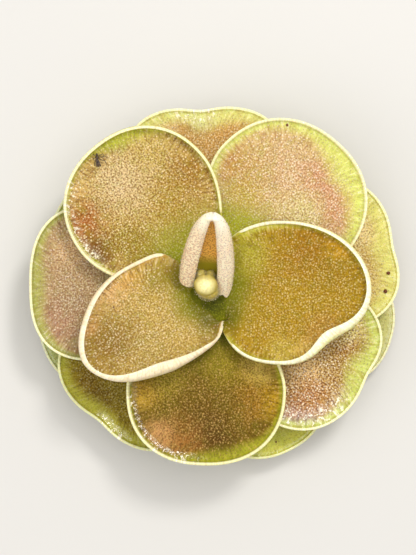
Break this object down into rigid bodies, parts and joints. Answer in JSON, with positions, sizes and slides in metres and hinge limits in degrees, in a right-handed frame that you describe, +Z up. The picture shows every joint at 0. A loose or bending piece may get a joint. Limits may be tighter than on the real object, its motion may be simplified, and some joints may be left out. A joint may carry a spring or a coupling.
{
  "type": "butterwort plant",
  "caption": "Carnivorous butterwort: a flat rosette of fleshy, round, sticky leaves spiralling round a short rooted crown, with a scrolled young leaf over the bud.",
  "frame": {"origin": "centre of the crown's flat foot, on the surface that the plant stands on", "axes": "+Z up along the crown, the axis that the leaves spiral round; +Y towards the way that the young leaf leans; +X to the right of that, seen from above"},
  "size_m": [0.0501, 0.0482, 0.0224],
  "materials": {
    "leaf_flesh": "wet, translucent flesh, amber in the middle and yellow-green towards the cream rim",
    "old_leaf_flesh": "wet, translucent flesh, yellow-green",
    "young_flesh": "satin, translucent cream flesh with a pink blush",
    "crown_stem": "matt brown rootstock and roots"
  },
  "bodies": {
    "root": {"crown": "crown_stem", "leaf_01": "leaf_flesh", "leaf_02": "leaf_flesh", "leaf_03": "leaf_flesh", "leaf_04": "leaf_flesh", "leaf_05": "leaf_flesh", "leaf_06": "leaf_flesh", "leaf_07": "leaf_flesh", "leaf_08": "leaf_flesh", "leaf_09": "leaf_flesh", "leaf_10": "old_leaf_flesh", "leaf_11": "old_leaf_flesh", "leaf_12": "old_leaf_flesh", "leaf_13": "old_leaf_flesh", "leaf_14": "old_leaf_flesh", "leaf_15": "old_leaf_flesh", "young_leaf": "young_flesh", "leaf_bud": "young_flesh"}
  },
  "joints": []
}
